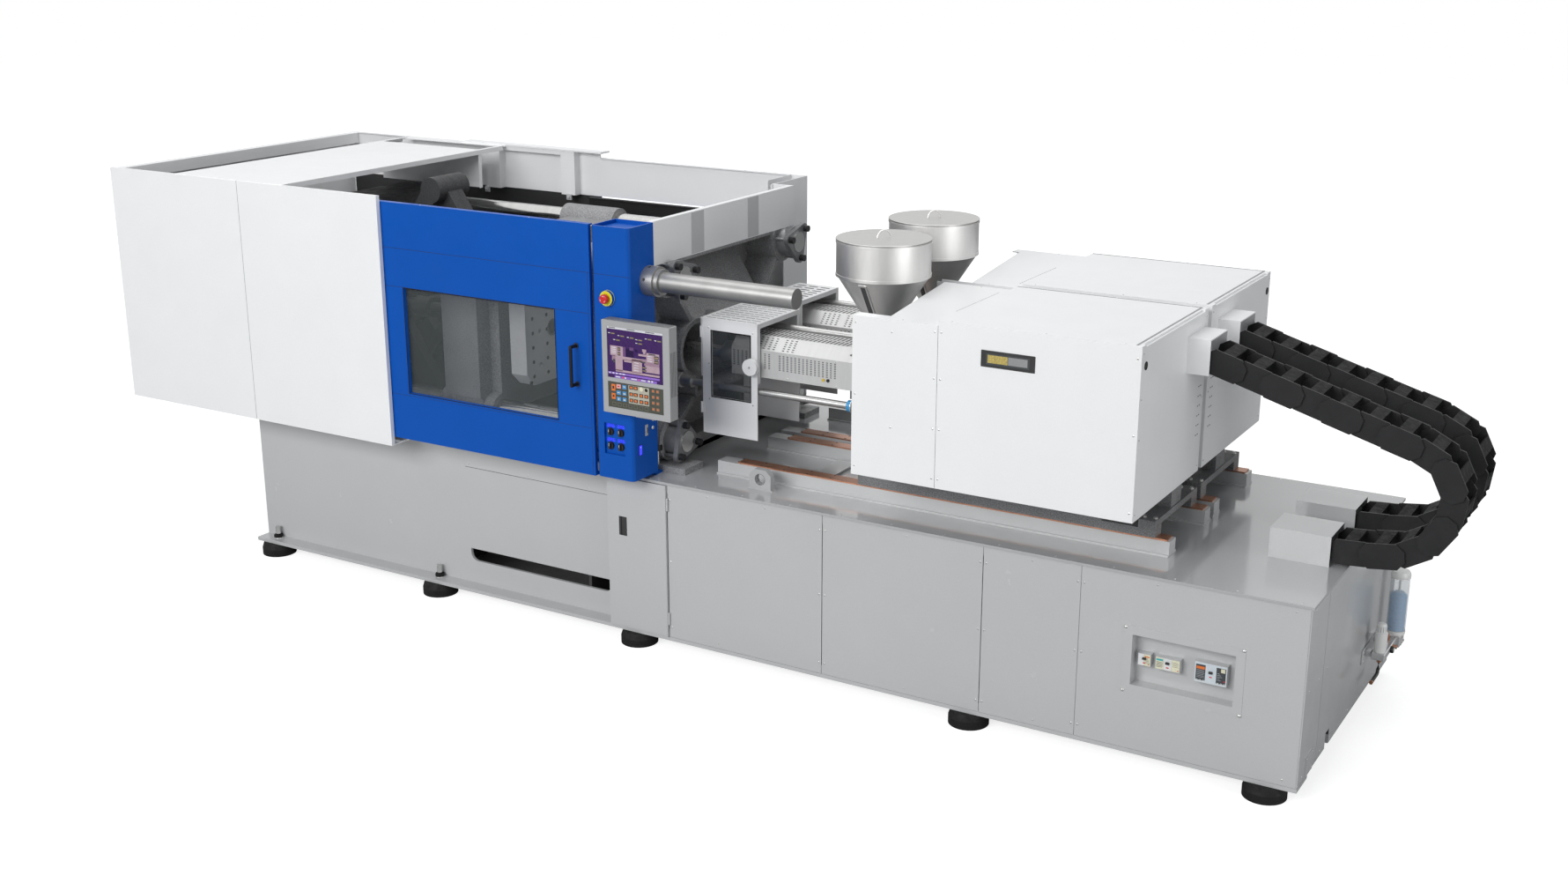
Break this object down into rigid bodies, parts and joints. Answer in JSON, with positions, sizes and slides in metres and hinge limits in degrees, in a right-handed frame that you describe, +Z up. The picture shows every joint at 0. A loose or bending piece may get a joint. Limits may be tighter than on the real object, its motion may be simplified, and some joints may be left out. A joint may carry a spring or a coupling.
{
  "type": "injection moulding machine",
  "caption": "Two-shot injection moulding machine: toggle clamp under covers with sliding doors, parallel injection units with hoppers, and a panelled base on levelling feet.",
  "frame": {"origin": "bottom centre of the whole machine, on the floor under the feet", "axes": "+X runs from the clamp end to the injection end, +Y from the operator side to the rear, +Z up"},
  "size_m": [6.72, 1.838, 2.046],
  "materials": {
    "cover_white": "satin",
    "base_grey": "gloss",
    "blue": "satin",
    "casting": "rough",
    "steel": "brushed",
    "black_rubber": "matt",
    "black_plastic": "matt",
    "red_plastic": "gloss",
    "copper": "polished",
    "clear": "clear"
  },
  "bodies": {
    "base": {"base_frame": "base_grey", "levelling_feet": "black_rubber", "base_cabinet": "base_grey", "table_plate": "base_grey", "base_panels": "base_grey", "breaker_box": "base_grey", "fixed_platen": "casting", "tie_bars": "steel", "tie_bar_nuts": "steel", "tail_platen": "casting", "clamp_cover_front": "cover_white", "clamp_cover_top": "cover_white", "clamp_cover_rear": "cover_white", "control_tower": "blue", "hmi_panel": "cover_white", "purge_guards": "cover_white", "rail_beds": "base_grey", "wear_strips": "copper", "traverse_screws": "steel", "lubrication_unit": "black_plastic", "cable_chain_front": "black_plastic", "cable_chain_rear": "black_plastic"},
    "cabinet_door": {"cabinet_door": "base_grey"},
    "breaker_lever_small": {"breaker_lever_small": "black_plastic"},
    "breaker_lever_medium": {"breaker_lever_medium": "black_plastic"},
    "breaker_lever_large": {"breaker_lever_large": "black_plastic"},
    "stop_button": {"stop_button": "red_plastic"},
    "selector_knob_1": {"selector_knob_1": "black_plastic"},
    "selector_knob_2": {"selector_knob_2": "black_plastic"},
    "selector_knob_3": {"selector_knob_3": "black_plastic"},
    "selector_knob_4": {"selector_knob_4": "black_plastic"},
    "operator_door": {"operator_door": "blue", "operator_window": "clear"},
    "rear_door": {"rear_door": "blue"},
    "purge_door": {"purge_door": "cover_white"},
    "moving_platen": {"moving_platen": "casting"},
    "rotary_table": {"rotary_table": "steel"},
    "ejector": {"ejector": "steel"},
    "crosshead": {"crosshead": "casting"},
    "clamp_screw": {"clamp_screw": "steel"},
    "rear_link_top": {"rear_link_top": "casting"},
    "front_link_top": {"front_link_top": "casting"},
    "cross_link_top": {"cross_link_top": "casting"},
    "rear_link_bottom": {"rear_link_bottom": "casting"},
    "front_link_bottom": {"front_link_bottom": "casting"},
    "cross_link_bottom": {"cross_link_bottom": "casting"},
    "carriage_front": {"carriage_front": "casting", "injection_cover_front": "cover_white", "barrel_front": "steel", "barrel_cover_front": "cover_white", "hopper_front": "steel"},
    "injection_screw_front": {"injection_screw_front": "steel"},
    "hopper_lid_front": {"hopper_lid_front": "steel"},
    "carriage_rear": {"carriage_rear": "casting", "injection_cover_rear": "cover_white", "barrel_rear": "steel", "barrel_cover_rear": "cover_white", "hopper_rear": "steel"},
    "injection_screw_rear": {"injection_screw_rear": "steel"},
    "hopper_lid_rear": {"hopper_lid_rear": "steel"}
  },
  "joints": [
    {"name": "cabinet_door_hinge", "type": "hinge", "parent": "base", "child": "cabinet_door", "pos_m": [0.013, -0.735, 0.45], "axis": [0, 0, 1], "range_deg": [0, 105]},
    {"name": "breaker_lever_small_hinge", "type": "hinge", "parent": "base", "child": "breaker_lever_small", "pos_m": [2.285, -0.699, 0.472], "axis": [1, 0, 0], "range_deg": [0, 40]},
    {"name": "breaker_lever_medium_hinge", "type": "hinge", "parent": "base", "child": "breaker_lever_medium", "pos_m": [2.381, -0.699, 0.472], "axis": [1, 0, 0], "range_deg": [0, 40]},
    {"name": "breaker_lever_large_hinge", "type": "hinge", "parent": "base", "child": "breaker_lever_large", "pos_m": [2.556, -0.699, 0.472], "axis": [1, 0, 0], "range_deg": [0, 40]},
    {"name": "stop_button_push", "type": "slide", "parent": "base", "child": "stop_button", "axis": [0, 1, 0], "range_m": [0, 0.006], "stiffness_N_per_m": 1500, "springref_m": -0.002},
    {"name": "selector_knob_1_turn", "type": "hinge", "parent": "base", "child": "selector_knob_1", "pos_m": [-0.214, -0.845, 1.075], "axis": [0, 1, 0], "range_deg": [-45, 45]},
    {"name": "selector_knob_2_turn", "type": "hinge", "parent": "base", "child": "selector_knob_2", "pos_m": [-0.158, -0.845, 1.075], "axis": [0, 1, 0], "range_deg": [-45, 45]},
    {"name": "selector_knob_3_turn", "type": "hinge", "parent": "base", "child": "selector_knob_3", "pos_m": [-0.214, -0.845, 1.009], "axis": [0, 1, 0], "range_deg": [-45, 45]},
    {"name": "selector_knob_4_turn", "type": "hinge", "parent": "base", "child": "selector_knob_4", "pos_m": [-0.158, -0.845, 1.009], "axis": [0, 1, 0], "range_deg": [-45, 45]},
    {"name": "operator_door_slide", "type": "slide", "parent": "base", "child": "operator_door", "axis": [-1, 0, 0], "range_m": [0, 1.1]},
    {"name": "rear_door_slide", "type": "slide", "parent": "base", "child": "rear_door", "axis": [-1, 0, 0], "range_m": [0, 1.1]},
    {"name": "purge_door_hinge", "type": "hinge", "parent": "base", "child": "purge_door", "pos_m": [0.011, -0.432, 1.353], "axis": [0, 0, -1], "range_deg": [0, 100]},
    {"name": "clamp_slide", "type": "slide", "parent": "base", "child": "moving_platen", "axis": [1, 0, 0], "range_m": [0, 0.32]},
    {"name": "rotary_table_turn", "type": "hinge", "parent": "moving_platen", "child": "rotary_table", "pos_m": [-1.022, 0.011, 1.353], "axis": [1, 0, 0], "range_deg": [0, 180]},
    {"name": "ejector_slide", "type": "slide", "parent": "moving_platen", "child": "ejector", "axis": [1, 0, 0], "range_m": [0, 0.12]},
    {"name": "crosshead_slide", "type": "slide", "parent": "base", "child": "crosshead", "axis": [1, 0, 0], "range_m": [0, 0.1323]},
    {"name": "clamp_screw_turn", "type": "hinge", "parent": "base", "child": "clamp_screw", "pos_m": [-2.47, 0.011, 1.353], "axis": [1, 0, 0], "range_deg": [0, 596]},
    {"name": "rear_link_top_hinge", "type": "hinge", "parent": "base", "child": "rear_link_top", "pos_m": [-2.17, 0.011, 1.473], "axis": [0, 1, 0], "range_deg": [0, 23.1]},
    {"name": "front_link_top_hinge", "type": "hinge", "parent": "moving_platen", "child": "front_link_top", "pos_m": [-1.562, 0.011, 1.473], "axis": [0, -1, 0], "range_deg": [0, 23.1]},
    {"name": "cross_link_top_hinge", "type": "hinge", "parent": "crosshead", "child": "cross_link_top", "pos_m": [-1.81353, 0.011, 1.433], "axis": [0, -1, 0], "range_deg": [0, 15.8]},
    {"name": "rear_link_bottom_hinge", "type": "hinge", "parent": "base", "child": "rear_link_bottom", "pos_m": [-2.17, 0.011, 1.233], "axis": [0, -1, 0], "range_deg": [0, 23.1]},
    {"name": "front_link_bottom_hinge", "type": "hinge", "parent": "moving_platen", "child": "front_link_bottom", "pos_m": [-1.562, 0.011, 1.233], "axis": [0, 1, 0], "range_deg": [0, 23.1]},
    {"name": "cross_link_bottom_hinge", "type": "hinge", "parent": "crosshead", "child": "cross_link_bottom", "pos_m": [-1.81353, 0.011, 1.273], "axis": [0, 1, 0], "range_deg": [0, 15.8]},
    {"name": "carriage_front_slide", "type": "slide", "parent": "base", "child": "carriage_front", "axis": [-1, 0, 0], "range_m": [0, 0.25], "deforming": ["cable_chain_front"]},
    {"name": "injection_screw_front_slide", "type": "slide", "parent": "carriage_front", "child": "injection_screw_front", "axis": [-1, 0, 0], "range_m": [0, 0.16]},
    {"name": "hopper_lid_front_lift", "type": "slide", "parent": "carriage_front", "child": "hopper_lid_front", "axis": [0, 0, 1], "range_m": [0, 0.15]},
    {"name": "carriage_rear_slide", "type": "slide", "parent": "base", "child": "carriage_rear", "axis": [-1, 0, 0], "range_m": [0, 0.25], "deforming": ["cable_chain_rear"]},
    {"name": "injection_screw_rear_slide", "type": "slide", "parent": "carriage_rear", "child": "injection_screw_rear", "axis": [-1, 0, 0], "range_m": [0, 0.16]},
    {"name": "hopper_lid_rear_lift", "type": "slide", "parent": "carriage_rear", "child": "hopper_lid_rear", "axis": [0, 0, 1], "range_m": [0, 0.15]}
  ],
  "couplings": [
    {"joint": "crosshead_slide", "follows": "clamp_slide", "ratio": 0.412},
    {"joint": "clamp_screw_turn", "follows": "clamp_slide", "rad_per_m": 32.358},
    {"joint": "rear_link_top_hinge", "follows": "clamp_slide", "rad_per_m": 1.252},
    {"joint": "front_link_top_hinge", "follows": "clamp_slide", "rad_per_m": 1.252},
    {"joint": "cross_link_top_hinge", "follows": "clamp_slide", "rad_per_m": 0.855},
    {"joint": "rear_link_bottom_hinge", "follows": "clamp_slide", "rad_per_m": 1.252},
    {"joint": "front_link_bottom_hinge", "follows": "clamp_slide", "rad_per_m": 1.252},
    {"joint": "cross_link_bottom_hinge", "follows": "clamp_slide", "rad_per_m": 0.855}
  ]
}
